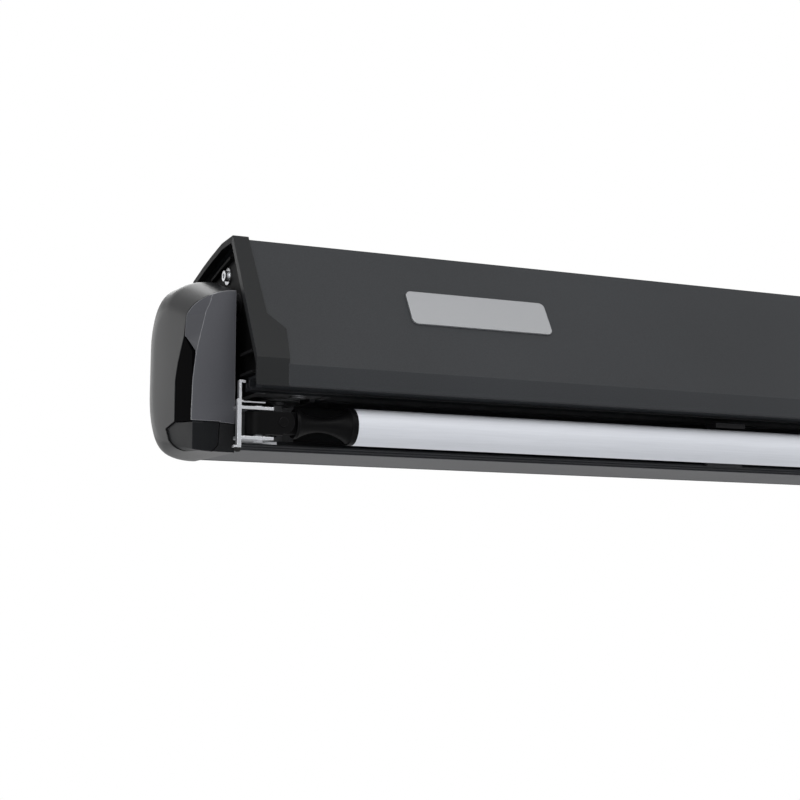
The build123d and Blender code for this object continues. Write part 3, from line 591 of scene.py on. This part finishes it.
# %% Cutting
def cut(target, tool, operation, keep_tool=False):
    """Applies one boolean and removes the tool."""
    step = target.modifiers.new("step", "BOOLEAN")
    step.operation, step.solver, step.object = operation, "EXACT", tool
    graph = bpy.context.evaluated_depsgraph_get()
    fresh = bpy.data.meshes.new_from_object(target.evaluated_get(graph))
    old = target.data
    target.modifiers.clear()
    target.data = fresh
    bpy.data.meshes.remove(old)
    if not keep_tool:
        used = tool.data
        bpy.data.objects.remove(tool)
        bpy.data.meshes.remove(used)
    return target


def twin(source, name, shift=(0, 0, 0)):
    """A moved copy of a piece."""
    o = bpy.data.objects.new(name, source.data.copy())
    bpy.context.scene.collection.objects.link(o)
    o.data.transform(Matrix.Translation(shift))
    return o

# %% [markdown]
# The master body is a set of outlines that draw in along a quarter ellipse. Rings inside the last
# outline carry a slight dome, because a flat end would show one dull tone.

# %% Master body and its facet
ROUND_STEPS, DOME_STEPS, DOME = 12, 6, .0003
MIDDLE = Vector((.078, .012))
rings = []
for k in range(ROUND_STEPS + 1):
    a = math.pi / 2 * k / ROUND_STEPS
    s = 1 - math.cos(a)
    x = -HOOD_END - CAP_IN - (CAP_OUT - CAP_IN) * math.sin(a)
    rings.append([(x, *p) for p in cap_outline(NOSE_ROUND * s, TOP_ROUND * s, LOW_ROUND * s)])
rim = [Vector(p[1:]) for p in rings[-1]]
for k in range(1, DOME_STEPS):
    s = 1 - k / DOME_STEPS
    rings.append([(-HOOD_END - CAP_OUT - DOME * (1 - s * s), *MIDDLE.lerp(p, s)) for p in rim])
master = ring_body("cap_master", rings)

OVER, NEAR = .006, REAR - .001
LEVELS = [(.080, -.011, .040), (.050, -.022, .0448), (.0407, -.0254, .0485), (.0274, -.0284, .053),
          (.0168, -.0307, .061), (.001, -.0324, .068), (-.018, -.03295, .0682)]
slices = []
for z, h, y in LEVELS:
    start = h + (h + CAP_OUT) / (y - REAR) * (REAR - NEAR)
    far = -HOOD_END - CAP_OUT - OVER
    slices.append([(-HOOD_END + start, NEAR, z), (-HOOD_END - CAP_OUT, y, z), (far, y, z),
                   (far, NEAR, z)])
faceted = cut(twin(master, "faceted"), ring_body("facet_tool", slices), "DIFFERENCE")
print("master body:", len(master.data.polygons), "faces, faceted:", len(faceted.data.polygons))

# %% [markdown]
# The facet is the slanted face beside the stripe: a stack of four-sided slices, one for each
# height, removes everything outside it. The three inserts are then marked by outlines on the
# end face and, where they go round the corner, by a second outline on the rear face. They
# share their corner points, so that the seams meet.

# %% Outlines of the inserts
SKIN, SEAM = .037, -.0243
END = -CAP_OUT - OVER
REAR_OVER = .005
STRIPE_DEPTH, CORNER_DEPTH, BLADE_DEPTH = .007, .005, .0125
CORNER_BACK = REAR + .0024
FACET = [(.030, .0535), (REAR, .0535), (.0393, .0503), (.0441, .0463), (.0477, .0423),
         (.0488, .0407), (.0518, .0285), (SKIN, .0175), (.030, .0175)]
STRIPE = [(.0518, .0285), (.063, .0141), (.0678, .0037), (.0683, -.0215), (SKIN, SEAM),
          (SKIN, .0175)]
CORNER = [(.086, -.0241), (.0683, -.0215), (SKIN, SEAM), (.030, SEAM), (.030, -.046),
          (.046, -.043), (.066, -.0384), (.080, -.0315)]
CORNER_REAR = [(-.040, SEAM), (-.0155, SEAM), (-.0164, -.038), (-.024, -.046), (-.040, -.046)]
BLADE_REAR = [(-.040, SEAM), (-.040, .060), (-.005, .060), (-.005, -.0249), (-.0155, SEAM)]


def prism_pair(name, outline, depth, rear, back, gap=0.0):
    """What an end outline and a rear outline cut off together."""
    end = end_prism(name, grow(outline, gap), END, -CAP_OUT + depth + gap)
    if rear is not None:
        cut(end, rear_prism("rear_tool", grow(rear, gap), REAR - REAR_OVER, back + gap), "UNION")
    return end


def tools(gap):
    """The three cutters, grown by a gap."""
    return (prism_pair("stripe_tool", STRIPE, STRIPE_DEPTH, None, 0, gap),
            prism_pair("corner_tool", CORNER, CORNER_DEPTH, CORNER_REAR, CORNER_BACK, gap),
            prism_pair("blade_tool", FACET, BLADE_DEPTH, BLADE_REAR, SKIN, gap))

# %% [markdown]
# Each insert is what its cutter and the body have in common, and the shell is what the grown
# cutters leave of the body. The stripe and the corner piece come from a body moved inward by
# less than a millimetre, so they lie a little deeper than the shell, as pressed-in pieces do.

# %% Four pieces of the cap
GAP, WALL, COLLAR = .0005, .006, -.013
STRIPE_SUNK, CORNER_SUNK = (.0004, 0, 0), (.0009, .0009, 0)
stripe_tool, corner_tool, blade_tool = tools(0)
cap = {"cap_stripe": cut(twin(master, "stripe", STRIPE_SUNK), stripe_tool, "INTERSECT"),
       "cap_inset": cut(twin(master, "inset", CORNER_SUNK), corner_tool, "INTERSECT"),
       "cap_blade": cut(faceted, blade_tool, "INTERSECT")}
stripe_tool, corner_tool, blade_tool = tools(GAP)
cut(cap["cap_inset"], stripe_tool, "DIFFERENCE", keep_tool=True)
cut(cap["cap_blade"], stripe_tool, "DIFFERENCE", keep_tool=True)
cut(cap["cap_blade"], corner_tool, "DIFFERENCE", keep_tool=True)
hollow = end_prism("hollow", grow(cap_outline(), -WALL), COLLAR, 0)
cap["cap_shell"] = cut(master, hollow, "DIFFERENCE")
for tool in (stripe_tool, corner_tool, blade_tool):
    cut(cap["cap_shell"], tool, "DIFFERENCE")
print({name: len(o.data.polygons) for name, o in cap.items()})

# %% [markdown]
# Each piece is shaded smooth where its faces meet at a low angle and sharp at its real edges. The
# right cap is the mirror image of the left one.

# %% Shading, mirror and riding
WELD, SHARP = .00001, math.radians(24)
CAP_LOOKS = {"cap_shell": (cap_satin, "cap_satin"), "cap_stripe": (stripe_gloss, "stripe_gloss"),
             "cap_inset": (inset_satin, "inset_grey"), "cap_blade": (blade_satin_painted_light, "blade_grey")}


def settle(o, node, material, slot):
    """Smooths a piece, and lets it stand for its node."""
    o.name = node + "_fine"
    o.data.materials.clear()
    o.data.materials.append(material)
    bm = bmesh.new()
    bm.from_mesh(o.data)
    bmesh.ops.remove_doubles(bm, verts=bm.verts, dist=WELD)
    bmesh.ops.recalc_face_normals(bm, faces=bm.faces)
    bm.to_mesh(o.data)
    bm.free()
    o.data.polygons.foreach_set("use_smooth", [True] * len(o.data.polygons))
    o.data.set_sharp_from_angle(angle=SHARP)
    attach(o, "lead_rail")
    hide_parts(node)


for node, o in cap.items():
    other = bpy.data.objects.new(node, o.data.copy())
    bpy.context.scene.collection.objects.link(other)
    other.data.transform(Matrix.Diagonal((-1, 1, 1, 1)))
    settle(o, node + "_left", *CAP_LOOKS[node])
    settle(other, node + "_right", *CAP_LOOKS[node])
print("caps dressed")

# %% [markdown]
# ## Studio
# A product picture has a white background that doesn't light the product. The trick is to show
# white only to the rays of the camera, of mirrors and of glass, and to let every other ray see
# a weaker, even light. The floor is a plain pale plane instead, which keeps the shadow that falls
# on it.

# %% White for the camera only
def white_mix(tree, lit, bright):
    """Shows white to camera, glossy and transmission rays, and the lit shader to others."""
    path_node = tree.nodes.new("ShaderNodeLightPath")
    total = path_node.outputs["Is Camera Ray"]
    for other in ("Is Glossy Ray", "Is Transmission Ray"):
        top = tree.nodes.new("ShaderNodeMath")
        top.operation = "MAXIMUM"
        tree.links.new(total, top.inputs[0])
        tree.links.new(path_node.outputs[other], top.inputs[1])
        total = top.outputs[0]
    mix = tree.nodes.new("ShaderNodeMixShader")
    tree.links.new(total, mix.inputs[0])
    tree.links.new(lit, mix.inputs[1])
    tree.links.new(bright, mix.inputs[2])
    return mix.outputs[0]


world = bpy.data.worlds.new("studio_world")
bpy.context.scene.world = world
world.use_nodes = True
wt = world.node_tree
soft_light = wt.nodes["Background"]
soft_light.inputs["Color"].default_value = (.95, .97, 1, 1)
soft_light.inputs["Strength"].default_value = .22
white = wt.nodes.new("ShaderNodeBackground")
white.inputs["Color"].default_value = (1, 1, 1, 1)
white.inputs["Strength"].default_value = 1.0
wt.links.new(white_mix(wt, soft_light.outputs[0], white.outputs[0]),
             wt.nodes["World Output"].inputs["Surface"])
print("world ready")

# %% [markdown]
# The floor is one large plane in a pale grey, just below where the feet reach when the legs are
# down and drawn out. It glows a little, so that it stays nearly white without more light on the
# awning, and it still takes a soft shadow.

# %% Floor
FLOOR_Z, FLOOR_SIZE = -1.86, 9.0
floor_mat = bpy.data.materials.new("floor_pale")
floor_mat.use_nodes = True
floor_shader = floor_mat.node_tree.nodes["Principled BSDF"]
floor_shader.inputs["Base Color"].default_value = (.86, .86, .86, 1)
floor_shader.inputs["Roughness"].default_value = .8
floor_shader.inputs["Emission Color"].default_value = (1, 1, 1, 1)
floor_shader.inputs["Emission Strength"].default_value = .35
corners = [(-1, -1), (1, -1), (1, 1), (-1, 1)]
floor = mesh_object("studio_floor", [(x * FLOOR_SIZE, y * FLOOR_SIZE, FLOOR_Z) for x, y in corners],
                    [(0, 1, 2, 3)], floor_mat, smooth=False)
print("floor at", FLOOR_Z)

# %% [markdown]
# ## Lamps
# Large lamps give soft edges to highlights. The main one stands behind and above the viewer. Two
# small ones skim the round nose and the top of the end cap, one on the left lights its end face,
# and a weak one from below lifts the underside, which this view shows. The far lamps reach the
# rest of the long case for the other views.

# %% Lamps
def lamp(name, place, aim, width, height, power, colour=(1, 1, 1)):
    """A soft rectangular lamp aimed at a point."""
    data = bpy.data.lights.new(name, "AREA")
    data.shape = "RECTANGLE"
    data.size, data.size_y, data.energy, data.color = width, height, power, colour
    o = bpy.data.objects.new(name, data)
    bpy.context.scene.collection.objects.link(o)
    o.location = place
    o.rotation_mode = "QUATERNION"
    o.rotation_quaternion = (Vector(aim) - Vector(place)).to_track_quat("-Z", "Y")
    return o


target = (-1.55, .08, .02)
lamp("key", (-1.7, -2.2, 2.4), target, 2.6, 1.2, 82, (1, .99, .97))
lamp("nose_side", (-2.1, 3.2, .5), target, .7, .7, 2.6)
lamp("nose_top", (-2.4, 1.9, 2.4), target, .8, .8, 11)
lamp("left", (-3.9, -1.9, .9), target, 1.0, 1.6, 36)
lamp("under", (-1.4, -1.2, -1.7), (-1.3, .05, 0), 2.8, .8, 11)
lamp("far_fill", (1.6, -2.8, 1.6), (.4, 0, 0), 3.2, 1.8, 42)
lamp("back_fill", (.6, 3.2, 1.8), (0, .1, 0), 4.0, 1.6, 60)

# %% [markdown]
# ## Camera
# The picture is taken from behind the wall side, low and to the left, looking slightly up along
# the case, with a long lens that keeps the edges nearly parallel. The camera's place and its
# two directions come from where the long edges of the case meet.

# %% Camera
LENS, SENSOR, CLIP = 73.35, 36, (.01, 60)
place = Vector((-2.07487, -.88173, -.13854))
ahead = Vector((.41897, .89845, .13137)).normalized()
upward = Vector((-.05552, -.11906, .99133))
side = ahead.cross(upward).normalized()
upward = side.cross(ahead)
camera = bpy.data.objects.new("camera", bpy.data.cameras.new("camera"))
bpy.context.scene.collection.objects.link(camera)
camera.location = place
camera.rotation_mode = "QUATERNION"
camera.rotation_quaternion = Matrix((side, upward, -ahead)).transposed().to_quaternion()
camera.data.lens, camera.data.sensor_width = LENS, SENSOR
camera.data.clip_start, camera.data.clip_end = CLIP
bpy.context.scene.camera = camera
bpy.context.scene.view_settings.view_transform = "Standard"
print("camera at", tuple(round(v, 3) for v in place))
